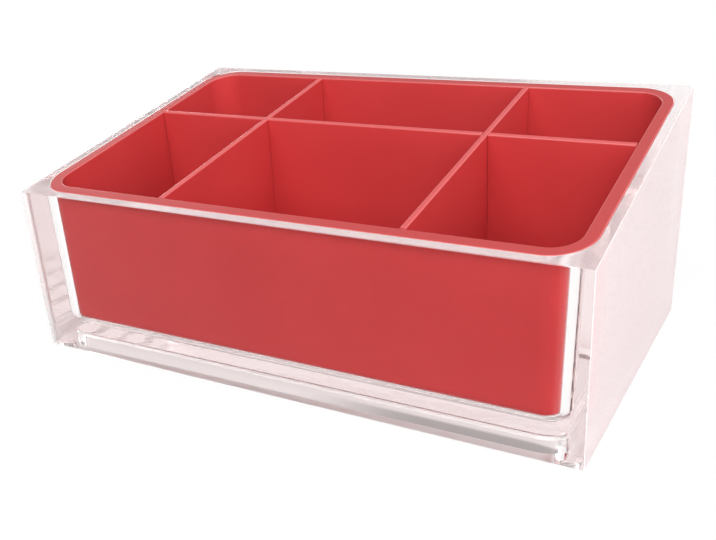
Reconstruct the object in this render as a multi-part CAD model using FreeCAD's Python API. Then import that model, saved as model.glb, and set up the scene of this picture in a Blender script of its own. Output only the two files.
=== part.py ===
import FreeCAD, Part
import math
import os

# A vanity organizer: a thick clear case with a slanted top, a coloured tray that hangs in it by
# its rim, and three interlocking dividers that stand in the tray. Millimetres, +Z up, the front is
# at -Y, and the origin is under the middle of the object, where its foot pads rest.

# Outer case
case_width = 220.0
case_depth = 129.0
case_front_height = 64.0
case_back_height = 90.5
case_draft_angle = 0.8
case_edge_radius = 0.5

# Mouth and cavity of the case
mouth_wall = 3.4
mouth_corner_radius = 14.5
cavity_draft_angle = 1.8
base_thickness = 4.0
cavity_floor_radius = 4.5

# Relief under the case
relief_depth = 6.0
relief_skirt = 7.0
relief_corner_radius = 10.0
relief_draft_angle = 3.0
relief_ceiling_chamfer = 1.5

# Foot pads
pad_diameter = 8.0
pad_thickness = 1.5
pad_stand = 0.5
pad_inset = 5.8
pad_clearance = 0.2
pad_edge_chamfer = 0.4

# Insert tray
rim_thickness = 1.2
rim_overhang = 2.2
rim_clearance = 0.2
rim_edge_radius = 0.5
tray_wall = 2.2
tray_floor_thickness = 2.2
tray_clearance = 0.4
tray_floor_radius = 2.5

# Dividers
divider_thickness = 2.2
divider_clearance = 0.25
divider_edge_radius = 0.4
long_divider_y = 13.0
cross_divider_x = 47.8
lap_clearance = 0.15
lap_height_share = 0.5

# How far every cutting tool runs past what it cuts
cut_overrun = 6.0

# How near to a plane an edge lies to count as one of its edges
edge_tolerance = 0.1

# Places that follow from the sizes above
case_bottom = pad_stand
front_top = case_bottom + case_front_height
back_top = case_bottom + case_back_height
mouth_z = (front_top + back_top) / 2
cavity_floor = case_bottom + relief_depth + base_thickness
tray_bottom = cavity_floor + tray_clearance
tray_floor = tray_bottom + tray_floor_thickness
top_slope = (back_top - front_top) / case_depth


def lean(angle, height):
    """How far a wall that leans by this angle moves over a height."""
    return height * math.tan(math.radians(angle))


# Both long walls lean alike but the back one is taller, so the outlines sit a little forward
middle_y = -lean(case_draft_angle, back_top - front_top) / 2
mouth_half_x = case_width / 2 - lean(case_draft_angle, back_top - mouth_z)
mouth_half_y = case_depth / 2

# The tray's walls, and the cavity that they hang in, measured inwards from the case's outside
tray_inset = mouth_wall + rim_clearance + rim_overhang
tray_corner_radius = mouth_corner_radius - rim_clearance - rim_overhang


def top_z(y):
    """Height of the slanted top above a place in the depth."""
    return front_top + top_slope * (y + case_depth / 2)


def outline(half_x, half_y, radius, z):
    """A closed level rectangle with rounded corners around the object's middle."""
    arcs = []
    for turn, (sx, sy) in enumerate(((1, -1), (1, 1), (-1, 1), (-1, -1))):
        centre = FreeCAD.Vector(sx * (half_x - radius), middle_y + sy * (half_y - radius), z)
        circle = Part.Circle(centre, FreeCAD.Vector(0, 0, 1), radius)
        start = math.radians(90 * turn - 90)
        arcs.append(Part.Arc(circle, start, start + math.pi / 2).toShape())
    edges = []
    for arc, following in zip(arcs, arcs[1:] + arcs[:1]):
        edges.append(arc)
        edges.append(Part.makeLine(arc.Vertexes[-1].Point, following.Vertexes[0].Point))
    return Part.Wire(edges)


def leaning_block(inset, radius, angle, low, high):
    """A rounded block with leaning walls; its inset and radius hold at the middle of the mouth."""
    wires = []
    for z in (low, high):
        spread = lean(angle, z - mouth_z)
        half_x = mouth_half_x - inset + spread
        half_y = mouth_half_y - inset + spread
        wires.append(outline(half_x, half_y, radius + spread, z))
    return Part.makeLoft(wires, True, True)


def outside_block():
    """The case's outside: four flat leaning walls under the slanted top, with softened edges."""
    low_spread = lean(case_draft_angle, case_bottom - mouth_z)
    high_spread = lean(case_draft_angle, back_top - mouth_z)
    low_x, low_y = mouth_half_x + low_spread, mouth_half_y + low_spread
    high_x, high_y = mouth_half_x + high_spread, mouth_half_y + high_spread
    block = Part.makeWedge(
        -low_x, 0, -low_y, -high_y, -high_x, low_x, case_back_height, low_y, high_y, high_x
    )
    block.rotate(FreeCAD.Vector(0, 0, 0), FreeCAD.Vector(1, 0, 0), 90)
    block.translate(FreeCAD.Vector(0, middle_y, case_bottom))
    block = block.cut(above_top(0))
    return block.makeFillet(case_edge_radius, block.Edges)


def above_top(drop):
    """All the space above the slanted top, with the top lowered by a drop."""
    reach = case_depth
    ceiling = back_top + case_back_height
    corners = []
    for y, z in (
        (-reach, top_z(-reach) - drop),
        (reach, top_z(reach) - drop),
        (reach, ceiling),
        (-reach, ceiling),
    ):
        corners.append(FreeCAD.Vector(-case_width, y, z))
    side = Part.Face(Part.makePolygon(corners + corners[:1]))
    return side.extrude(FreeCAD.Vector(2 * case_width, 0, 0))


def level_edges(shape, z):
    """The edges of a shape that lie at one height."""

    def at_height(edge):
        return all(abs(p.z - z) < edge_tolerance for p in edge.discretize(Number=3))

    return [e for e in shape.Edges if at_height(e)]


def slanted_edges(shape):
    """The edges of a shape that lie in the slanted top."""

    def in_top(edge):
        return all(abs(p.z - top_z(p.y)) < edge_tolerance for p in edge.discretize(Number=3))

    return [e for e in shape.Edges if in_top(e)]


def hollow(inset, radius, low, floor_radius):
    """A leaning hollow with a rounded floor edge, open above the slanted top."""
    block = leaning_block(inset, radius, cavity_draft_angle, low, back_top + cut_overrun)
    return block.makeFillet(floor_radius, level_edges(block, low))


def pad_places():
    """Name and centre of each foot pad, on the corners of the skirt."""
    half_x = mouth_half_x - lean(case_draft_angle, mouth_z - case_bottom) - pad_inset
    half_y = mouth_half_y - lean(case_draft_angle, mouth_z - case_bottom) - pad_inset
    places = {}
    for row, sy in (("front", -1), ("back", 1)):
        for side, sx in (("left", -1), ("right", 1)):
            places["foot_pad_%s_%s" % (row, side)] = (sx * half_x, middle_y + sy * half_y)
    return places


def relief():
    """The hollow under the case, inside its skirt, with a softened ceiling edge."""
    ceiling = case_bottom + relief_depth
    base_spread = lean(case_draft_angle, mouth_z - case_bottom)
    wires = []
    for z in (case_bottom - cut_overrun, ceiling):
        inset = relief_skirt + base_spread + lean(relief_draft_angle, z - case_bottom)
        radius = relief_corner_radius - lean(relief_draft_angle, z - case_bottom)
        wires.append(outline(mouth_half_x - inset, mouth_half_y - inset, radius, z))
    block = Part.makeLoft(wires, True, True)
    return block.makeChamfer(relief_ceiling_chamfer, level_edges(block, ceiling))


def rim_slab(clearance):
    """The space of the tray's rim over the ledge, drawn in by a clearance and open upwards."""
    inset = mouth_wall + clearance
    radius = mouth_corner_radius - clearance
    block = leaning_block(inset, radius, case_draft_angle, cavity_floor, back_top + cut_overrun)
    return block.common(above_top(rim_thickness))


def outer_case():
    """The clear case: leaning walls, a ledged mouth, a rounded cavity and a hollow base."""
    body = outside_block()
    body = body.cut(rim_slab(0))
    cavity_inset = tray_inset - tray_clearance
    cavity_radius = tray_corner_radius + tray_clearance
    body = body.cut(hollow(cavity_inset, cavity_radius, cavity_floor, cavity_floor_radius))
    body = body.cut(relief())
    pocket_depth = pad_thickness - pad_stand
    for x, y in pad_places().values():
        base = FreeCAD.Vector(x, y, case_bottom - cut_overrun)
        body = body.cut(Part.makeCylinder(pad_diameter / 2 + pad_clearance, cut_overrun + pocket_depth, base))
    return body


def foot_pad(x, y):
    """A clear disc in its pocket, with a softened lower edge that stands below the case."""
    disc = Part.makeCylinder(pad_diameter / 2, pad_thickness, FreeCAD.Vector(x, y, 0))
    return disc.makeChamfer(pad_edge_chamfer, level_edges(disc, 0))


def insert_tray():
    """The coloured tray: thin leaning walls and a rim that rests on the ledge of the mouth."""
    body = hollow(tray_inset, tray_corner_radius, tray_bottom, cavity_floor_radius)
    body = body.fuse(rim_slab(rim_clearance))
    body = body.cut(above_top(0))
    body = body.cut(tray_room(0))
    return body.makeFillet(rim_edge_radius, slanted_edges(body))


def tray_room(clearance):
    """The space inside the tray, drawn in from its walls by a clearance."""
    inset = tray_inset + tray_wall + clearance
    return hollow(inset, tray_corner_radius - tray_wall - clearance, tray_floor, tray_floor_radius)


def divider_plate(low_x, high_x, low_y, high_y):
    """An upright plate that fills the tray between its walls, its top in line with the rim."""
    corner = FreeCAD.Vector(low_x, low_y, tray_floor)
    plate = Part.makeBox(high_x - low_x, high_y - low_y, back_top + cut_overrun - tray_floor, corner)
    plate = plate.common(tray_room(divider_clearance)).cut(above_top(0))
    long_edges = [e for e in slanted_edges(plate) if e.Length > 2 * divider_thickness]
    return plate.makeFillet(divider_edge_radius, long_edges)


# Where the dividers cross, each gives up about half its height to the other
lap_z = tray_floor + lap_height_share * (top_z(long_divider_y) - tray_floor)
lap_half_width = divider_thickness / 2 + lap_clearance


def long_divider():
    """The divider that runs the width of the tray, slotted from above for the cross dividers."""
    half = divider_thickness / 2
    plate = divider_plate(-case_width / 2, case_width / 2, long_divider_y - half, long_divider_y + half)
    slot_floor = lap_z - lap_clearance
    for side in (-1, 1):
        corner = FreeCAD.Vector(
            side * cross_divider_x - lap_half_width, long_divider_y - divider_thickness, slot_floor
        )
        slot = Part.makeBox(2 * lap_half_width, 2 * divider_thickness, back_top - slot_floor, corner)
        plate = plate.cut(slot)
    return plate


def cross_divider(side):
    """A divider that runs front to back, slotted from below to drop over the long divider."""
    middle = side * cross_divider_x
    half = divider_thickness / 2
    plate = divider_plate(middle - half, middle + half, -case_depth / 2, case_depth / 2)
    corner = FreeCAD.Vector(
        middle - divider_thickness, long_divider_y - lap_half_width, tray_floor - cut_overrun
    )
    height = lap_z + lap_clearance - tray_floor + cut_overrun
    return plate.cut(Part.makeBox(2 * divider_thickness, 2 * lap_half_width, height, corner))


def all_pieces():
    """Every piece of the organizer by its name."""
    pieces = {
        "outer_case": outer_case(),
        "insert_tray": insert_tray(),
        "long_divider": long_divider(),
        "cross_divider_left": cross_divider(-1),
        "cross_divider_right": cross_divider(1),
    }
    for name, (x, y) in pad_places().items():
        pieces[name] = foot_pad(x, y)
    return pieces


os.makedirs("parts", exist_ok=True)
for name, shape in all_pieces().items():
    shape.exportStep("parts/%s.step" % name)
    print("%-22s %d solid, valid %s, %.1f mm3" % (name, len(shape.Solids), shape.isValid(), shape.Volume))
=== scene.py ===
# %% [markdown]
# # A clear vanity organizer with a red divided tray
# The object is a thick clear case with a slanted top. A red tray hangs in its mouth by a thin rim,
# and three red dividers stand in the tray and lock into each other with half laps. Four small clear
# pads keep the case off the table. The measured solids load first as a fixed frame, and every piece
# below is modelled around them, in metres and in the same place.

# %% Load the fixed frame
import math
import bmesh
import bpy
from mathutils import Matrix, Vector


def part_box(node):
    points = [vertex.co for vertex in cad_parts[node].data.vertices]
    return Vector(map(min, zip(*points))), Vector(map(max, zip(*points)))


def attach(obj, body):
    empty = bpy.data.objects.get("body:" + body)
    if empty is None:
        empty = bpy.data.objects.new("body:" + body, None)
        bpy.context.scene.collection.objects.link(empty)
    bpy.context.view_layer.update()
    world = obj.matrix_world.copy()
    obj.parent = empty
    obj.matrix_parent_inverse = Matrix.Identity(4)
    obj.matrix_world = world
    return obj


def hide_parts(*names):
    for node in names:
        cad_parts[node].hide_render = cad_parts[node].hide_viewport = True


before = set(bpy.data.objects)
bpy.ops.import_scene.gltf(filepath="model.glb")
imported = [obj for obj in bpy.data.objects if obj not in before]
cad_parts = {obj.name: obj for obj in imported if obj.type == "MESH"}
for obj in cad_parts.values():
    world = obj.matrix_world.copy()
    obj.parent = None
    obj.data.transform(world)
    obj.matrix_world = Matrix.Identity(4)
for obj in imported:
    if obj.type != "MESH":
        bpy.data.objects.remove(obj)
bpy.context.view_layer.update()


# %% [markdown]
# ## The sizes that the pieces share
# Every wall of this object is a rounded rectangle that leans a little, because moulded pieces need
# draft to leave their moulds, and all of them end at one slanted plane. So a few values describe
# them all: the case's size, two draft angles and the slope of the top. Each wall could have a list of
# its own corners instead, but then no two walls would be sure to fit.

# %% Sizes of the case and its slanted top
case_width = 0.220
case_depth = 0.129
case_front_height = 0.064
case_back_height = 0.0905
case_draft = math.radians(0.8)
cavity_draft = math.radians(1.8)

case_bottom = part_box("outer_case")[0].z
front_top = case_bottom + case_front_height
back_top = case_bottom + case_back_height
top_slope = (back_top - front_top) / case_depth
top_normal = Vector((0, -top_slope, 1)).normalized()
mouth_z = (front_top + back_top) / 2
mouth_half_x = case_width / 2 - (back_top - mouth_z) * math.tan(case_draft)
mouth_half_y = case_depth / 2
middle_y = -(back_top - front_top) * math.tan(case_draft) / 2


def top_z(y):
    """Height of the slanted top at a place in the depth."""
    return mouth_z + top_slope * y


print("top slopes by %.1f degrees" % math.degrees(math.atan(top_slope)))

# %% Sizes of the mouth and the cavity
mouth_wall = 0.0034
mouth_corner = 0.0145
rim_thickness = 0.0012
rim_clearance = 0.0002
rim_overhang = 0.0022
tray_clearance = 0.0004
relief_depth = 0.006
base_thickness = 0.004
floor_round = 0.0045

tray_inset = mouth_wall + rim_clearance + rim_overhang
tray_corner = mouth_corner - rim_clearance - rim_overhang
cavity_floor = case_bottom + relief_depth + base_thickness
print("cavity floor is %.1f mm above the table" % (cavity_floor * 1000))

# %% [markdown]
# ## Rings, walls and trims
# A leaning wall with rounded corners could be a subdivided cube, but its corner radius would then be
# hard to hold. Here each wall starts as two rings: four vertices whose corners are bevelled into arcs.
# Bridging the rings gives the wall, and a bisecting plane trims it at the slanted top. All rounded
# rings have the same number of edges, so any two of them can be bridged with clean quads.

# %% Helpers for rings and walls
corner_steps = 32
cut_overrun = 0.010
above_all = back_top + cut_overrun


def rounded_ring(bm, inset, radius, draft, z):
    """A level ring of edges; its inset from the case's outside holds at the middle of the mouth."""
    spread = (z - mouth_z) * math.tan(draft)
    half_x = mouth_half_x - inset + spread
    half_y = mouth_half_y - inset + spread
    corners = []
    for side_x, side_y in ((-1, -1), (1, -1), (1, 1), (-1, 1)):
        corners.append(bm.verts.new((side_x * half_x, middle_y + side_y * half_y, z)))
    known = set(bm.faces)
    bm.faces.new(corners)
    if radius:
        bmesh.ops.bevel(bm, geom=corners, offset=radius + spread, offset_type="OFFSET",
                        affect="VERTICES", segments=corner_steps, profile=0.5, material=-1)
    flat = [f for f in bm.faces if f not in known]
    ring = list(flat[0].edges)
    bmesh.ops.delete(bm, geom=flat, context="FACES_ONLY")
    return ring


def wall(bm, inset, radius, draft, start, end):
    """A leaning wall between two heights; gives its faces and the ring at its start."""
    first = rounded_ring(bm, inset, radius, draft, start)
    last = rounded_ring(bm, inset, radius, draft, end)
    faces = bmesh.ops.bridge_loops(bm, edges=first + last)["faces"]
    return faces, first


print("a rounded ring has %d edges" % (4 * corner_steps + 4))

# %% Helpers that trim walls, join rings and round edges
weld = 1e-7
apart = Vector((0, 0, 0.050))
edge_steps = 4


def trim(bm, faces, drop, keep_below):
    """Cuts faces at the slanted plane, lowered by a drop; gives the faces left and the cut edges."""
    geom = list(dict.fromkeys(v for f in faces for v in f.verts))
    geom += dict.fromkeys(e for f in faces for e in f.edges)
    geom += faces
    cut = bmesh.ops.bisect_plane(bm, geom=geom, dist=weld, plane_no=top_normal,
                                 plane_co=(0, -case_depth / 2, front_top - drop),
                                 clear_outer=keep_below, clear_inner=not keep_below)
    left = [g for g in cut["geom"] if g.is_valid and isinstance(g, bmesh.types.BMFace)]
    ring = [g for g in cut["geom_cut"] if isinstance(g, bmesh.types.BMEdge)]
    return left, ring


def join(bm, ring, other):
    """Bridges two rings of one plane; one is held apart meanwhile, so that they are paired rightly."""
    verts = list(dict.fromkeys(v for e in other for v in e.verts))
    bmesh.ops.translate(bm, verts=verts, vec=apart)
    bmesh.ops.bridge_loops(bm, edges=ring + other)
    bmesh.ops.translate(bm, verts=verts, vec=-apart)


def soften(bm, edges, radius, steps):
    """Rounds edges; the faces must agree on their outside first."""
    bmesh.ops.recalc_face_normals(bm, faces=bm.faces)
    bmesh.ops.bevel(bm, geom=edges, offset=radius, offset_type="OFFSET", affect="EDGES",
                    segments=steps, profile=0.5, material=-1)


print("small edges are rounded in %d steps" % edge_steps)

# %% [markdown]
# ## From a bmesh to a piece
# A finished piece is a mesh object at the origin, with its place in its mesh. Its doubles are merged
# and its faces turned outwards first. Flat shading would show every facet and plain smooth shading
# would smear the corners, so edges sharper than one angle stay sharp and weighted normals keep the
# flat faces flat. Each piece then rides on a body of the frame and stands for the node that it
# replaces, which is hidden.

# %% Helpers that turn a bmesh into a piece of the object
smooth_angle = math.radians(28)


def close_mesh(bm, name):
    """Merges a bmesh's doubles, turns its faces outwards and gives an object of it."""
    bmesh.ops.remove_doubles(bm, verts=bm.verts, dist=weld)
    bmesh.ops.recalc_face_normals(bm, faces=bm.faces)
    open_edges = sum(1 for e in bm.edges if not e.is_manifold)
    mesh = bpy.data.meshes.new(name)
    bm.to_mesh(mesh)
    bm.free()
    made = bpy.data.objects.new(name, mesh)
    bpy.context.scene.collection.objects.link(made)
    print("%s: %d faces, %d open edges" % (name, len(mesh.polygons), open_edges))
    return made


def make_piece(bm, name, body, node):
    """Makes a smooth piece that rides on a body and stands for a node of the frame."""
    piece = close_mesh(bm, name)
    piece.data.shade_smooth()
    piece.data.set_sharp_from_angle(angle=smooth_angle)
    piece.modifiers.new("even_normals", "WEIGHTED_NORMAL").keep_sharp = True
    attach(piece, body)
    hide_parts(node)
    return piece


# %% [markdown]
# ## The red tray
# The tray is a thin moulding with a flat rim. It could be a bowl with a Solidify modifier, but its
# outside, its rim and its inside lean and round differently, so each is a wall of its own. They use
# the same rings as the cavity, a hair smaller, so that the tray hangs in the case with an even gap.

# %% Model the red tray
tray_wall = 0.0022
tray_floor_thickness = 0.0022
tray_floor_round = 0.0025
rim_edge = 0.0005
rim_lift = 0.00003
tray_foot_steps = 8
tray_floor_steps = 6
tray_bottom = cavity_floor + tray_clearance
tray_floor = tray_bottom + tray_floor_thickness


def red_tray_mesh():
    """The tray's skin: outside, the underside and edge of the rim, its top, and the inside."""
    bm = bmesh.new()
    under_rim = rim_thickness - rim_lift
    outside, outside_foot = wall(bm, tray_inset, tray_corner, cavity_draft, tray_bottom, above_all)
    _, outside_top = trim(bm, outside, under_rim, True)
    edge, _ = wall(bm, mouth_wall + rim_clearance, mouth_corner - rim_clearance, case_draft,
                   tray_bottom, above_all)
    edge, edge_top = trim(bm, edge, 0, True)
    _, edge_low = trim(bm, edge, under_rim, False)
    inside, inside_foot = wall(bm, tray_inset + tray_wall, tray_corner - tray_wall, cavity_draft,
                               tray_floor, above_all)
    _, inside_top = trim(bm, inside, 0, True)
    join(bm, outside_top, edge_low)
    join(bm, edge_top, inside_top)
    bmesh.ops.edgeloop_fill(bm, edges=outside_foot)
    bmesh.ops.edgeloop_fill(bm, edges=inside_foot)
    soften(bm, outside_foot, floor_round, tray_foot_steps)
    soften(bm, inside_foot, tray_floor_round, tray_floor_steps)
    soften(bm, edge_top + inside_top, rim_edge, edge_steps)
    return bm


red_tray = make_piece(red_tray_mesh(), "red_tray", "tray", "insert_tray")

# %% [markdown]
# ## The dividers
# Each divider is a flat plate whose ends lean with the tray's walls and whose lower corners are
# rounded to clear the tray's floor. A plate could be a cube with Boolean cuts, but it is simpler to
# draw its side view with a few vertices, slots included. The view is then rounded, extruded to the
# plate's thickness, trimmed at the slanted top and softened along it.

# %% Helpers for divider plates
divider_thickness = 0.0022
divider_gap = 0.00025
divider_edge = 0.0005
plate_corner_steps = 8


def room_half(half, z):
    """Half of the room between the tray's walls at a height, less the dividers' gap."""
    return half - tray_inset - tray_wall - divider_gap + (z - mouth_z) * math.tan(cavity_draft)


def plate(points, corners, along, middle):
    """A plate along an axis from the points of its side view, of which the given corners are rounded."""
    bm = bmesh.new()
    side = divider_thickness / 2
    verts = []
    for u, z in points:
        place = (u, middle - side, z) if along == "x" else (middle - side, u, z)
        verts.append(bm.verts.new(place))
    bm.faces.new(verts)
    rounded = [vert for vert, point in zip(verts, points) if point in corners]
    bmesh.ops.bevel(bm, geom=rounded, offset=tray_floor_round, offset_type="OFFSET",
                    affect="VERTICES", segments=plate_corner_steps, profile=0.5, material=-1)
    grown = bmesh.ops.extrude_face_region(bm, geom=list(bm.faces))
    moved = [g for g in grown["geom"] if isinstance(g, bmesh.types.BMVert)]
    way = Vector((0, 1, 0)) if along == "x" else Vector((1, 0, 0))
    bmesh.ops.translate(bm, verts=moved, vec=way * divider_thickness)
    _, cut = trim(bm, list(bm.faces), 0, True)
    bmesh.ops.holes_fill(bm, edges=cut)
    long_edges = [e for e in cut if abs((e.verts[0].co - e.verts[1].co).dot(way)) < weld]
    soften(bm, long_edges, divider_edge, edge_steps)
    return bm


print("plates are %.1f mm thick" % (divider_thickness * 1000))

# %% Model the long divider
lap_gap = 0.00015
long_y = 0.0130
cross_x = 0.0478
lift_off_floor = 0.00003
lap_z = tray_floor + (top_z(long_y) - tray_floor) / 2
plate_bottom = tray_floor + lift_off_floor
slot_half = divider_thickness / 2 + lap_gap


def long_divider_mesh():
    """The plate that runs the width of the tray, slotted from above at both crossings."""
    foot = room_half(mouth_half_x, plate_bottom)
    head = room_half(mouth_half_x, above_all)
    slot = lap_z - lap_gap
    corners = [(-foot, plate_bottom), (foot, plate_bottom)]
    points = corners + [(head, above_all)]
    for x in (cross_x, -cross_x):
        points += [(x + slot_half, above_all), (x + slot_half, slot)]
        points += [(x - slot_half, slot), (x - slot_half, above_all)]
    points.append((-head, above_all))
    return plate(points, corners, "x", long_y)


long_panel = make_piece(long_divider_mesh(), "long_divider_panel", "grid", "long_divider")

# %% Model the two cross dividers


def cross_divider_mesh(x):
    """The plate that runs front to back, slotted from below to drop over the long divider."""
    foot = room_half(mouth_half_y, plate_bottom)
    head = room_half(mouth_half_y, above_all)
    slot = lap_z + lap_gap
    front_corner = (middle_y - foot, plate_bottom)
    back_corner = (middle_y + foot, plate_bottom)
    points = [front_corner]
    points += [(long_y - slot_half, plate_bottom), (long_y - slot_half, slot)]
    points += [(long_y + slot_half, slot), (long_y + slot_half, plate_bottom)]
    points += [back_corner, (middle_y + head, above_all), (middle_y - head, above_all)]
    return plate(points, (front_corner, back_corner), "y", x)


left_panel = make_piece(cross_divider_mesh(-cross_x), "left_cross_panel", "left_cross",
                        "cross_divider_left")
right_panel = make_piece(cross_divider_mesh(cross_x), "right_cross_panel", "right_cross",
                         "cross_divider_right")

# %% [markdown]
# ## The foot pads
# Four soft clear discs sit in shallow pockets under the corners of the case. A ready-made cylinder
# would do for the disc alone, but an extruded circle serves twice: with its lower edge rounded it is
# the pad, and a little larger it is the plug that later carves the pocket.

# %% Model the pads and the plugs of their pockets
pad_steps = 48
pad_round = 0.0004
pocket_gap = 0.0002
pad_nodes = [n for n in sorted(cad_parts) if n.startswith("foot_pad")]


def disc(centre, radius, low, high):
    """An upright disc."""
    bm = bmesh.new()
    place = Matrix.Translation((centre.x, centre.y, low))
    bmesh.ops.create_circle(bm, cap_ends=True, segments=pad_steps, radius=radius, matrix=place)
    grown = bmesh.ops.extrude_face_region(bm, geom=list(bm.faces))
    moved = [g for g in grown["geom"] if isinstance(g, bmesh.types.BMVert)]
    bmesh.ops.translate(bm, verts=moved, vec=(0, 0, high - low))
    return bm


pads = []
pocket_plugs = []
for node in pad_nodes:
    low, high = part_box(node)
    centre = (low + high) / 2
    radius = (high.x - low.x) / 2
    pad = disc(centre, radius, low.z, high.z - lift_off_floor)
    lower_edges = [e for e in pad.edges if all(abs(v.co.z - low.z) < weld for v in e.verts)]
    soften(pad, lower_edges, pad_round, edge_steps)
    pads.append(make_piece(pad, node + "_disc", "case", node))
    pocket_plugs.append(disc(centre, radius + pocket_gap, low.z - high.z, high.z))

# %% [markdown]
# ## The clear case
# The real case is one thick moulding: polished walls, a ledge just below the mouth that carries the
# tray, a rounded cavity, and a shallow hollow under its base. It could be bridged from rings like the
# tray, but its pockets meet its faces where no ring runs. So a full block is made first, and closed
# plugs in the shape of the hollows are carved out of it with Boolean modifiers. That keeps the skin
# closed, and clear plastic only refracts rightly when its skin is closed. The modifiers are applied
# at once, so that the case stays one plain mesh.

# %% Model the block of the case
case_edge = 0.0004


def outside_block():
    """The case's outside as a full block with softened edges."""
    bm = bmesh.new()
    sides, foot = wall(bm, 0, 0, case_draft, case_bottom, above_all)
    _, top = trim(bm, sides, 0, True)
    bmesh.ops.edgeloop_fill(bm, edges=top)
    bmesh.ops.edgeloop_fill(bm, edges=foot)
    soften(bm, list(bm.edges), case_edge, edge_steps)
    return bm


block = close_mesh(outside_block(), "block")

# %% Model the plugs of the cavity and of the hollow under the base
cavity_floor_steps = 10
relief_skirt = 0.007
relief_corner = 0.010
relief_draft = math.radians(3)
relief_edge = 0.0015


def cavity_plug():
    """The space that the tray hangs in: the mouth, the ledge under its rim and the rounded cavity."""
    bm = bmesh.new()
    mouth, mouth_top = wall(bm, mouth_wall, mouth_corner, case_draft, above_all, cavity_floor)
    _, ledge_outside = trim(bm, mouth, rim_thickness, False)
    cavity, floor_ring = wall(bm, tray_inset - tray_clearance, tray_corner + tray_clearance,
                              cavity_draft, cavity_floor, above_all)
    _, ledge_inside = trim(bm, cavity, rim_thickness, True)
    join(bm, ledge_outside, ledge_inside)
    bmesh.ops.edgeloop_fill(bm, edges=mouth_top)
    bmesh.ops.edgeloop_fill(bm, edges=floor_ring)
    soften(bm, floor_ring, floor_round, cavity_floor_steps)
    return bm


def relief_plug():
    """The hollow under the base, inside its skirt."""
    bm = bmesh.new()
    ceiling = case_bottom + relief_depth
    to_mouth = mouth_z - case_bottom
    inset = relief_skirt + to_mouth * (math.tan(case_draft) + math.tan(relief_draft))
    radius = relief_corner - to_mouth * math.tan(relief_draft)
    _, top = wall(bm, inset, radius, -relief_draft, ceiling, case_bottom - relief_depth)
    foot = [e for e in bm.edges if all(v.co.z < case_bottom for v in e.verts)]
    bmesh.ops.edgeloop_fill(bm, edges=top)
    bmesh.ops.edgeloop_fill(bm, edges=foot)
    soften(bm, top, relief_edge, edge_steps)
    return bm


hollows = [cavity_plug(), relief_plug()]
plugs = [close_mesh(bm, "plug") for bm in hollows + pocket_plugs]

# %% Carve the case


def carve(body, tools):
    """Cuts tools out of a body and removes them all; gives the carved bmesh."""
    for tool in tools:
        step = body.modifiers.new("carve", "BOOLEAN")
        step.operation = "DIFFERENCE"
        step.solver = "EXACT"
        step.object = tool
    carved = bmesh.new()
    carved.from_object(body, bpy.context.evaluated_depsgraph_get())
    for used in [body] + tools:
        bpy.data.objects.remove(used)
    return carved


clear_case = make_piece(carve(block, plugs), "clear_case", "case", "outer_case")

# %% [markdown]
# ## Mark the satin faces
# In the picture the case's front is clear, but its side face is pale and even and hides the tray
# behind it, and its slanted top is a faintly mottled grey white. The face that it stands on is ground
# flat, and the rounded edge of the hollow above it is just as dull. These finishes could be separate
# materials, but marks that are stored as face attributes let one clear plastic fade between them.

# %% Paint the satin marks on the faces
side_satin = 1.0
top_satin = 0.3
foot_satin = 1.0
side_reach = mouth_half_x - mouth_wall / 2
side_normal_x = 0.3
top_normal_share = 0.6
foot_normal_z = -0.9
edge_normal_z = (-0.98, -0.1)


def outer_satin(face):
    """The satin of the faces that show it only from outside: the two sides and the slanted top."""
    if abs(face.normal.x) > side_normal_x and abs(face.center.x) > side_reach:
        return side_satin
    faces_up = face.normal.dot(top_normal) > top_normal_share
    depth = top_z(face.center.y) - face.center.z
    return top_satin if faces_up and depth < rim_thickness / 2 else 0.0


def lower_satin(face):
    """The satin of the ground face under the skirt and of the rounded edge of the hollow's ceiling."""
    up = face.center.z - case_bottom
    on_foot = face.normal.z < foot_normal_z and up < case_edge
    flattest, steepest = edge_normal_z
    rounded = flattest < face.normal.z < steepest
    on_edge = rounded and relief_depth - relief_edge < up < relief_depth
    return foot_satin if on_foot or on_edge else 0.0


def mark_faces(piece, name, value_at):
    """A face attribute with a value for each face."""
    mark = piece.data.attributes.new(name, "FLOAT", "FACE")
    values = [value_at(face) for face in piece.data.polygons]
    for face, value in zip(piece.data.polygons, values):
        mark.data[face.index].value = value
    print("%s: %d faces marked" % (name, sum(1 for v in values if v)))


mark_faces(clear_case, "satin_outside", outer_satin)
mark_faces(clear_case, "satin_foot", lower_satin)

# %% [markdown]
# ## Finishes and a painted-light mask shared by the materials
# Three effects recur, so each is a node group that every material places with its own values: the
# fine grain and slow tone changes of moulded plastic, the faint marks that handling leaves on gloss,
# and a mask below the top edges of thin coloured walls, where the light that gathers there is
# painted. They could be painted on image textures, but noise over object coordinates has no seams
# and stays sharp up close.

# %% Helpers that set, fit and scatter values
unit = (0, 1)


def feed(tree, value, socket):
    """Links a value that is a socket, or sets a plain number or colour."""
    if isinstance(value, bpy.types.NodeSocket):
        tree.links.new(value, socket)
    else:
        socket.default_value = value


def fitted(tree, value, given, wanted):
    """A smooth step of a value from a given range to a wanted one."""
    made = tree.nodes.new("ShaderNodeMapRange")
    made.interpolation_type = "SMOOTHSTEP"
    feed(tree, value, made.inputs["Value"])
    for label, number in zip(("From Min", "From Max", "To Min", "To Max"), (*given, *wanted)):
        feed(tree, number, made.inputs[label])
    return made.outputs["Result"]


def noise(tree, scale, detail, stretch=(1, 1, 1)):
    """A noise over object coordinates; scale is its grains in a metre."""
    place = tree.nodes.new("ShaderNodeTexCoord")
    mapping = tree.nodes.new("ShaderNodeMapping")
    mapping.inputs["Scale"].default_value = stretch
    tree.links.new(place.outputs["Object"], mapping.inputs["Vector"])
    made = tree.nodes.new("ShaderNodeTexNoise")
    made.inputs["Detail"].default_value = detail
    tree.links.new(mapping.outputs["Vector"], made.inputs["Vector"])
    feed(tree, scale, made.inputs["Scale"])
    return made.outputs["Fac"]


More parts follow.
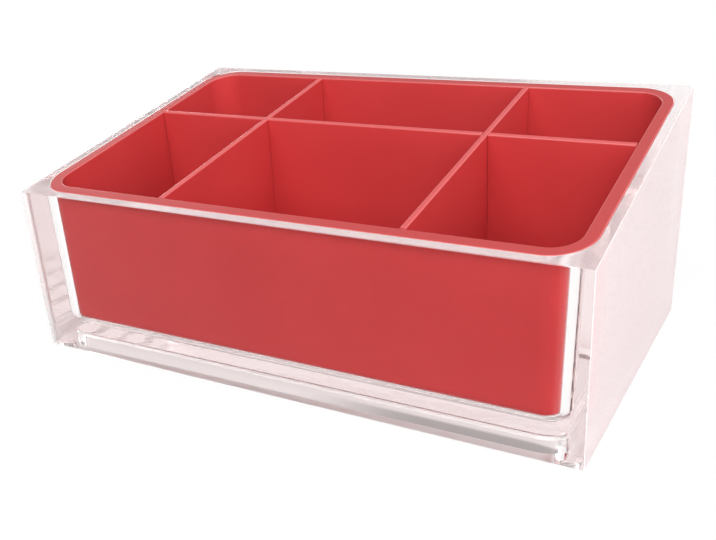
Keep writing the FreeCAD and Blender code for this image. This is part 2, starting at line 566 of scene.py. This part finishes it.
# %% Build the moulded grain
plastic_grains = 2200.0
grain_detail = 3
tone_scale = 22
tone_range = (0.3, 0.7)
soft_detail = 2


def new_group(name, inputs, outputs):
    """An empty shader group with float sockets; gives its tree, its inputs and its outputs."""
    tree = bpy.data.node_groups.new(name, "ShaderNodeTree")
    for label, value in inputs:
        socket = tree.interface.new_socket(label, in_out="INPUT", socket_type="NodeSocketFloat")
        socket.default_value = value
    for label in outputs:
        tree.interface.new_socket(label, in_out="OUTPUT", socket_type="NodeSocketFloat")
    return tree, tree.nodes.new("NodeGroupInput").outputs, tree.nodes.new("NodeGroupOutput").inputs


def grain_group():
    """Fine grain for bump and slow tone changes, as a mould leaves them."""
    tree, start, end = new_group("moulded_grain", [("Grains per metre", plastic_grains)],
                                 ["Grain", "Tone"])
    tree.links.new(noise(tree, start["Grains per metre"], grain_detail), end["Grain"])
    tree.links.new(fitted(tree, noise(tree, tone_scale, soft_detail), tone_range, unit), end["Tone"])
    return tree


moulded_grain = grain_group()
print("%s: %d nodes" % (moulded_grain.name, len(moulded_grain.nodes)))

# %% Build the handling marks
smudge_scale = 30
smudge_detail = 4
smudge_range = (0.48, 0.72)
hair_scale = 40
hair_stretch = (1, 40, 12)
hair_range = (0.66, 0.72)


def maths(tree, operation, *values):
    """A math node; each value is a socket or a number."""
    made = tree.nodes.new("ShaderNodeMath")
    made.operation = operation
    for socket, value in zip(made.inputs, values):
        feed(tree, value, socket)
    return made.outputs[0]


def marks_group():
    """Faint smudges and hair scratches on gloss."""
    tree, start, end = new_group("handling_marks", [("Smudge", 1.0), ("Scratch", 1.0)], ["Marks"])
    smudge = fitted(tree, noise(tree, smudge_scale, smudge_detail), smudge_range, unit)
    hair = fitted(tree, noise(tree, hair_scale, soft_detail, hair_stretch), hair_range, unit)
    both = maths(tree, "ADD", maths(tree, "MULTIPLY", smudge, start["Smudge"]),
                 maths(tree, "MULTIPLY", hair, start["Scratch"]))
    tree.links.new(both, end["Marks"])
    return tree


handling_marks = marks_group()
print("%s: %d nodes" % (handling_marks.name, len(handling_marks.nodes)))

# %% Build the edge light
usual_reach = 0.001


def coordinates(tree, kind):
    """The X, Y and Z of a place as sockets."""
    place = tree.nodes.new("ShaderNodeTexCoord")
    parts = tree.nodes.new("ShaderNodeSeparateXYZ")
    tree.links.new(place.outputs[kind], parts.inputs[0])
    return parts.outputs


def edge_light_group():
    """A mask that is 1 at the slanted top and fades out below it, where edge light is painted."""
    tree, start, end = new_group("edge_light", [("Reach", usual_reach)], ["Mask"])
    place = coordinates(tree, "Object")
    top = maths(tree, "ADD", maths(tree, "MULTIPLY", place["Y"], top_slope), mouth_z)
    below = maths(tree, "SUBTRACT", top, place["Z"])
    tree.links.new(fitted(tree, below, (0, start["Reach"]), (1, 0)), end["Mask"])
    return tree


edge_light = edge_light_group()
print("%s: %d nodes" % (edge_light.name, len(edge_light.nodes)))

# %% [markdown]
# ## Clear acrylic
# Polished acrylic refracts like glass but tints in its depth: thick edges look pinkish beside the red
# tray. A coloured glass skin would tint thick and thin alike, so a Principled shader with full
# transmission gives the skin and a Volume Absorption the depth. Low on the case the skin ripples a
# little, as a thick moulding does where it shrinks.
# The satin is a second Principled shader, mixed in by the marks. The sides and the top show it only
# from outside, which Backfacing tells, so light inside the walls still glides along them. There they
# are just a little hazy, and more so in a strip at the front, where the real edge looks soft.

# %% Helpers for materials


def new_material(name):
    """A material with its node tree and its Principled shader."""
    made = bpy.data.materials.new(name)
    made.use_nodes = True
    return made, made.node_tree, made.node_tree.nodes["Principled BSDF"]


def place_group(tree, group, **values):
    """Puts a node group into a material and sets its inputs; gives its outputs."""
    made = tree.nodes.new("ShaderNodeGroup")
    made.node_tree = group
    for label, value in values.items():
        made.inputs[label.replace("_", " ")].default_value = value
    return made.outputs


def bumped(tree, height, distance, strength):
    """A bump normal from a height."""
    made = tree.nodes.new("ShaderNodeBump")
    made.inputs["Distance"].default_value = distance
    made.inputs["Strength"].default_value = strength
    tree.links.new(height, made.inputs["Height"])
    return made.outputs["Normal"]


# %% Set the polished skin of the acrylic
white = (1, 1, 1, 1)
acrylic_ior = 1.49
mirror_tint = (0.2, 0.2, 0.2, 1)
polish_roughness = (0.03, 0.05)
side_haze = 0.07
strip_haze = 0.82
front_strip = (-0.061, -0.055)
ripple_scale = 110
ripple_height = 0.0001
ripple_strength = 0.6


def polish_skin(tree, clear, side, place):
    """Makes a shader clear and polished, hazier on the satin faces and rippled low on the case."""
    clear.inputs["Base Color"].default_value = white
    clear.inputs["IOR"].default_value = acrylic_ior
    clear.inputs["Transmission Weight"].default_value = 1.0
    clear.inputs["Specular Tint"].default_value = mirror_tint
    marks = place_group(tree, handling_marks, Smudge=0.6, Scratch=0.5)
    worn = fitted(tree, marks["Marks"], unit, polish_roughness)
    strip = fitted(tree, place["Y"], front_strip, (strip_haze, side_haze))
    haze = maths(tree, "MULTIPLY", side, strip)
    tree.links.new(maths(tree, "MAXIMUM", worn, haze), clear.inputs["Roughness"])
    low = fitted(tree, place["Z"], (cavity_floor, cavity_floor + floor_round), (1, 0))
    ripple = maths(tree, "MULTIPLY", noise(tree, ripple_scale, soft_detail), low)
    tree.links.new(bumped(tree, ripple, ripple_height, ripple_strength), clear.inputs["Normal"])


print("polished skin has a roughness of %.2f to %.2f" % polish_roughness)

# %% Set the satin skin of the acrylic
satin_roughness = 0.45
satin_transmission = 0.3
satin_grains = 900.0
satin_bump = 0.00005
satin_bump_strength = 0.3
mottle_range = (0.35, 0.65)
dark_milk = (0.88, 0.775, 0.785, 1)
light_milk = (0.96, 0.845, 0.855, 1)
ground_milk = (1.0, 0.97, 0.965, 1)


def mixed(tree, factor, first, second):
    """A mix of two colours."""
    made = tree.nodes.new("ShaderNodeMix")
    made.data_type = "RGBA"
    feed(tree, factor, made.inputs["Factor"])
    feed(tree, first, made.inputs["A"])
    feed(tree, second, made.inputs["B"])
    return made.outputs["Result"]


def satin_skin(tree, foot):
    """A milky satin shader, mottled by its grain and paler on the ground faces."""
    satin = tree.nodes.new("ShaderNodeBsdfPrincipled")
    satin.inputs["Roughness"].default_value = satin_roughness
    satin.inputs["IOR"].default_value = acrylic_ior
    satin.inputs["Transmission Weight"].default_value = satin_transmission
    grain = place_group(tree, moulded_grain, Grains_per_metre=satin_grains)
    milk = mixed(tree, fitted(tree, grain["Grain"], mottle_range, unit), dark_milk, light_milk)
    tree.links.new(mixed(tree, foot, milk, ground_milk), satin.inputs["Base Color"])
    normal = bumped(tree, grain["Grain"], satin_bump, satin_bump_strength)
    tree.links.new(normal, satin.inputs["Normal"])
    return satin


print("satin skin has a roughness of %.2f" % satin_roughness)

# %% Share out the satin
end_share = 0.3


def marked(tree, name):
    """A face attribute as a socket."""
    made = tree.nodes.new("ShaderNodeAttribute")
    made.attribute_name = name
    return made.outputs["Fac"]


def satin_share(tree, side, foot, place):
    """The satin's share: marked sides and top from outside, ground faces less towards their ends."""
    facing = tree.nodes.new("ShaderNodeNewGeometry")
    outside = maths(tree, "SUBTRACT", 1, facing.outputs["Backfacing"])
    across = maths(tree, "ABSOLUTE", place["X"])
    skirt = mouth_half_x - relief_skirt
    ground = fitted(tree, across, (skirt - relief_corner, skirt), (1.0, end_share))
    return maths(tree, "MAXIMUM", maths(tree, "MULTIPLY", side, outside),
                 maths(tree, "MULTIPLY", foot, ground))


print("satin marks on the case:", [a.name for a in clear_case.data.attributes if "satin" in a.name])

# %% Put the clear acrylic together
depth_tint = (0.9, 0.6, 0.6, 1)
depth_density = 3.7


def show_mix(tree, share, first, second):
    """Shows a mix of two shaders as the material's surface."""
    mix = tree.nodes.new("ShaderNodeMixShader")
    tree.links.new(share, mix.inputs["Fac"])
    tree.links.new(first.outputs[0], mix.inputs[1])
    tree.links.new(second.outputs[0], mix.inputs[2])
    tree.links.new(mix.outputs[0], tree.nodes["Material Output"].inputs["Surface"])


def clear_acrylic_material():
    """Polished clear plastic with a faint pink depth and milky satin faces."""
    made, tree, clear = new_material("clear_acrylic")
    side = marked(tree, "satin_outside")
    foot = marked(tree, "satin_foot")
    place = coordinates(tree, "Object")
    polish_skin(tree, clear, side, place)
    show_mix(tree, satin_share(tree, side, foot, place), clear, satin_skin(tree, foot))
    depth = tree.nodes.new("ShaderNodeVolumeAbsorption")
    depth.inputs["Color"].default_value = depth_tint
    depth.inputs["Density"].default_value = depth_density
    tree.links.new(depth.outputs[0], tree.nodes["Material Output"].inputs["Volume"])
    return made


clear_acrylic = clear_acrylic_material()
clear_case.data.materials.clear()
clear_case.data.materials.append(clear_acrylic)
print("%s: %d nodes" % (clear_acrylic.name, len(clear_acrylic.node_tree.nodes)))

# %% [markdown]
# ## Red plastic
# The tray and the dividers are satin red mouldings. Their colour drifts a little, and a fine grain
# breaks up the gloss. Light gathers in thin coloured plastic and leaves it at the top edges.
# Subsurface scattering could show that, but it is slow and hard to steer, so that light is painted: a
# mask below the slanted top paints a glow on the flat and a highlight on the rounded part of those
# edges, the flat paler on the dividers than on the rim. On the rim the painted flat is darker and less
# saturated than the body: painted shade against the lamps above, with a painted pale sheen. The rounded
# part also has a glossy coat, which catches the light in a thin line.

# %% Make the red plastics
dark_red = (0.53, 0.041, 0.043, 1)
light_red = (0.56, 0.046, 0.048, 1)
# painted light: the rim top is darker and less saturated as painted shade and sheen, the divider top
# paler as a painted glow, and the rounded edges lighter as painted highlights
rim_top_painted_shade_and_sheen = (0.43, 0.058, 0.058, 1)
rim_edge_painted_highlight = (0.58, 0.12, 0.12, 1)
divider_top_painted_glow = (0.56, 0.09, 0.09, 1)
divider_edge_painted_highlight = (0.60, 0.11, 0.11, 1)
red_ior = 1.5
red_gloss = 0.06
red_roughness = (0.34, 0.42)
red_bump = 0.00004
red_bump_strength = 0.25
edge_reach = 0.0008
painted_top_reach = 0.00006
edge_coat = (0.0, 0.8)
edge_coat_roughness = 0.15


def red_plastic_material(name, painted_top_colour, painted_edge_colour):
    """Satin red plastic with painted light on the flat and a painted highlight on the rounded part of
    its top edges.
    """
    made, tree, skin = new_material(name)
    grain = place_group(tree, moulded_grain, Grains_per_metre=plastic_grains)
    marks = place_group(tree, handling_marks, Smudge=0.5, Scratch=0.3)
    # crown and flat place the painted edge highlight and the painted top light; crown also places the
    # real coat
    crown = place_group(tree, edge_light, Reach=edge_reach)["Mask"]
    flat = place_group(tree, edge_light, Reach=painted_top_reach)["Mask"]
    body = mixed(tree, grain["Tone"], dark_red, light_red)
    edged = mixed(tree, crown, body, painted_edge_colour)
    tree.links.new(mixed(tree, flat, edged, painted_top_colour), skin.inputs["Base Color"])
    tree.links.new(fitted(tree, marks["Marks"], unit, red_roughness), skin.inputs["Roughness"])
    normal = bumped(tree, grain["Grain"], red_bump, red_bump_strength)
    tree.links.new(normal, skin.inputs["Normal"])
    rounded = maths(tree, "SUBTRACT", crown, flat)
    tree.links.new(fitted(tree, rounded, unit, edge_coat), skin.inputs["Coat Weight"])
    skin.inputs["Coat Roughness"].default_value = edge_coat_roughness
    skin.inputs["IOR"].default_value = red_ior
    skin.inputs["Specular IOR Level"].default_value = red_gloss
    return made


tray_plastic = red_plastic_material("red_tray_plastic", rim_top_painted_shade_and_sheen, rim_edge_painted_highlight)
divider_plastic = red_plastic_material("red_divider_plastic", divider_top_painted_glow, divider_edge_painted_highlight)
red_tray.data.materials.append(tray_plastic)
for panel in (long_panel, left_panel, right_panel):
    panel.data.materials.append(divider_plastic)
print("%s: %d nodes" % (tray_plastic.name, len(tray_plastic.node_tree.nodes)))

# %% [markdown]
# ## Soft clear pads
# The pads are soft clear rubber, a little cloudy. Plain glass would look hard, so they let only part
# of the light through, and slow changes in the roughness and a fine grain break up the gloss.

# %% Make the soft clear pads
pad_colour = (0.92, 0.88, 0.88, 1)
pad_ior = 1.45
pad_transmission = 0.6
pad_grains = 1500.0
pad_roughness = (0.3, 0.42)
pad_bump = 0.00005
pad_bump_strength = 0.2


def clear_pad_material():
    """Soft clear rubber, slightly cloudy."""
    made, tree, skin = new_material("clear_pad")
    skin.inputs["Base Color"].default_value = pad_colour
    skin.inputs["IOR"].default_value = pad_ior
    skin.inputs["Transmission Weight"].default_value = pad_transmission
    grain = place_group(tree, moulded_grain, Grains_per_metre=pad_grains)
    tree.links.new(fitted(tree, grain["Tone"], unit, pad_roughness), skin.inputs["Roughness"])
    normal = bumped(tree, grain["Grain"], pad_bump, pad_bump_strength)
    tree.links.new(normal, skin.inputs["Normal"])
    return made


pad_rubber = clear_pad_material()
for pad in pads:
    pad.data.materials.append(pad_rubber)
print("%s: on %d pads" % (pad_rubber.name, len(pads)))

# %% [markdown]
# ## Studio
# The object stands on a pale floor in a white surround. More light could make them white, but it would
# bleach the object too, so Light Path tells them which ray looks. The floor glows white to the camera
# and keeps a soft shadow near the object. It is dim to mirrors. Through the clear base it has painted
# shade and a painted faint pink, which stand in for the shadow of the case and the light bounced off
# the red tray over it; the painted shade is darkest in a thin band under the front of the hollow,
# towards the right. The surround is dimmer in front, as a studio is behind its camera, so that the
# clear front does not mirror white over the red tray.

# %% Build the surround
dim_zone = (-0.7, 0.2)
dim_level = (0.35, 1.0)
light_level = 0.55


def by_ray(tree, camera, glossy, transmitted):
    """A value for each kind of ray that looks at the background, and 0 for all other light."""
    path = tree.nodes.new("ShaderNodeLightPath").outputs
    seen = maths(tree, "MULTIPLY", path["Is Camera Ray"], camera)
    mirrored = maths(tree, "MULTIPLY", path["Is Glossy Ray"], glossy)
    through = maths(tree, "MULTIPLY", path["Is Transmission Ray"], transmitted)
    return maths(tree, "MAXIMUM", maths(tree, "MAXIMUM", seen, mirrored), through)


def white_surround():
    """A white world, dimmer in front of the object for everything but the camera and clear pieces."""
    world = bpy.data.worlds.new("studio")
    world.use_nodes = True
    tree = world.node_tree
    room = fitted(tree, coordinates(tree, "Generated")["Y"], dim_zone, dim_level)
    light = maths(tree, "MULTIPLY", room, light_level)
    looked = by_ray(tree, 1.0, 0.0, 1.0)
    mirrored = maths(tree, "MULTIPLY", by_ray(tree, 0.0, 1.0, 0.0), room)
    strength = maths(tree, "MAXIMUM", looked, maths(tree, "MAXIMUM", light, mirrored))
    background = tree.nodes["Background"]
    background.inputs["Color"].default_value = white
    tree.links.new(strength, background.inputs["Strength"])
    return world


studio = white_surround()
bpy.context.scene.world = studio
print("%s: %d nodes" % (studio.name, len(studio.node_tree.nodes)))

# %% Paint shade on the floor under the case
# painted shade on the floor under the case, seen only by rays through the clear case
painted_shade_zone = (0.85, 1.25)
skirt_painted_shade = 0.95
base_painted_shade = 0.84
band_painted_shade = (0.88, 0.42)
band_across = (0.0, 0.055)
band_front = (-0.0575, -0.0555)
band_back = (-0.0515, -0.049)


def outwards(tree, place):
    """How far out a place lies: 0 at the middle and 1 at the case's outline."""
    across = maths(tree, "DIVIDE", maths(tree, "ABSOLUTE", place["X"]), mouth_half_x)
    along = maths(tree, "DIVIDE", maths(tree, "ABSOLUTE", place["Y"]), mouth_half_y)
    return maths(tree, "MAXIMUM", across, along)


def painted_shade_through(tree, place, away):
    """Painted shade of the floor seen through the case: darker under it, most in a band near its front.
    """
    band = fitted(tree, place["X"], band_across, band_painted_shade)
    behind = fitted(tree, place["Y"], band_back, (band, base_painted_shade))
    under = fitted(tree, place["Y"], band_front, (skirt_painted_shade, behind))
    return fitted(tree, away, painted_shade_zone, (under, 1.0))


print("shade ends %.0f mm beside the case" % ((painted_shade_zone[1] - 1) * mouth_half_x * 1000))

# %% Lay the floor
floor_half = 6
floor_drop = 0.0001
paper_white = (0.9, 0.9, 0.9, 1)
paper_roughness = 0.9
paper_gloss = 0.1
# painted faint pink under the case, standing in for light bounced off the red tray
painted_red_bounce_tint = (1, 0.9, 0.9, 1)
shadow_zone = (1.2, 4.0)
seen_glow = (0.9, 1.0)
mirrored_glow = 0.9
through_glow = 0.92
mirrored_level = 0.06


def floor_paper_material():
    """Pale paper that is white to look at, dim in mirrors, and takes the object's shadow; through the
    case it has painted shade and a painted pink bounce.
    """
    made, tree, skin = new_material("floor_paper")
    skin.inputs["Base Color"].default_value = paper_white
    skin.inputs["Roughness"].default_value = paper_roughness
    skin.inputs["Specular IOR Level"].default_value = paper_gloss
    place = coordinates(tree, "Object")
    away = outwards(tree, place)
    glow = tree.nodes.new("ShaderNodeEmission")
    level = by_ray(tree, 1.0, mirrored_level, painted_shade_through(tree, place, away))
    tree.links.new(level, glow.inputs["Strength"])
    # painted red bounce under the case, for rays through the case only
    painted_red_bounce = by_ray(tree, 0, 0, fitted(tree, away, painted_shade_zone, (1, 0)))
    tree.links.new(mixed(tree, painted_red_bounce, white, painted_red_bounce_tint), glow.inputs["Color"])
    seen = fitted(tree, away, shadow_zone, seen_glow)
    show_mix(tree, by_ray(tree, seen, mirrored_glow, through_glow), skin, glow)
    return made


floor_mesh = bmesh.new()
bmesh.ops.create_grid(floor_mesh, x_segments=1, y_segments=1, size=floor_half,
                      matrix=Matrix.Translation((0, 0, -floor_drop)))
floor = close_mesh(floor_mesh, "floor")
floor.data.materials.append(floor_paper_material())

# %% [markdown]
# ## Lamps
# Two broad lamps light the front and the right side, where the camera looks. A weak one behind on the
# left keeps the far sides from going dull. One strong lamp would be simpler, but its hard shadow
# would hide the compartments. The lamp behind is small and stands low, so that the clear base doesn't
# show it.

# %% Hang the lamps


def soft_lamp(name, place, size, watts):
    """A square soft lamp that points at the middle of the object."""
    data = bpy.data.lights.new(name, "AREA")
    data.size = size
    data.energy = watts
    lamp = bpy.data.objects.new(name, data)
    aim = Vector((0, 0, mouth_z / 2)) - Vector(place)
    lamp.location = place
    lamp.rotation_mode = "QUATERNION"
    lamp.rotation_quaternion = aim.to_track_quat("-Z", "Y")
    bpy.context.scene.collection.objects.link(lamp)
    print("%s: %.2f m away" % (name, aim.length))


soft_lamp("right_lamp", place=(0.95, -0.35, 0.62), size=1.1, watts=10.7)
soft_lamp("front_lamp", place=(0.10, -0.82, 0.74), size=1.1, watts=11.8)
soft_lamp("back_lamp", place=(-0.88, 0.73, 0.20), size=0.38, watts=4.0)

# %% [markdown]
# ## Camera
# The camera stands at the right of the front, a little above the object, where the photograph was
# taken. It could be turned by hand until the view looks right, but here its direction, distance and
# lens were fitted to the corners of the case in the picture, so that the edges fall where they should.

# %% Place the camera
picture_width = 716
focal_pixels = 902
sensor_width = 36
azimuth = math.radians(29.97)
elevation = math.radians(21.29)
roll = math.radians(-3.01)
stand_off = Vector((-0.00200, 0.02281, 0.36699))

back = Vector((math.sin(azimuth) * math.cos(elevation), -math.cos(azimuth) * math.cos(elevation),
               math.sin(elevation)))
right = Vector((math.cos(azimuth), math.sin(azimuth), 0))
up = back.cross(right)
turned_right = math.cos(roll) * right + math.sin(roll) * up
turned_up = math.cos(roll) * up - math.sin(roll) * right
turn = Matrix((turned_right, turned_up, back)).transposed()

camera_data = bpy.data.cameras.new("camera")
camera_data.sensor_width = sensor_width
camera_data.lens = sensor_width * focal_pixels / picture_width
camera = bpy.data.objects.new("camera", camera_data)
camera.matrix_world = Matrix.Translation(turn @ stand_off + Vector((0, 0, case_bottom))) @ turn.to_4x4()
bpy.context.scene.collection.objects.link(camera)
bpy.context.scene.camera = camera
print("camera at", [round(v, 4) for v in camera.matrix_world.translation])

# %% [markdown]
# ## View and light paths
# The Standard view shows colours about as they are written. Light crosses many clear faces on its way
# through the case, and paths that end too early leave dark spots, so they may be longer than usual.

# %% Set the view and the light paths
bounces = 24
scene = bpy.context.scene
scene.view_settings.view_transform = "Standard"
scene.cycles.max_bounces = bounces
scene.cycles.glossy_bounces = bounces
scene.cycles.transmission_bounces = bounces
print("view: %s, bounces: %d" % (scene.view_settings.view_transform, scene.cycles.max_bounces))
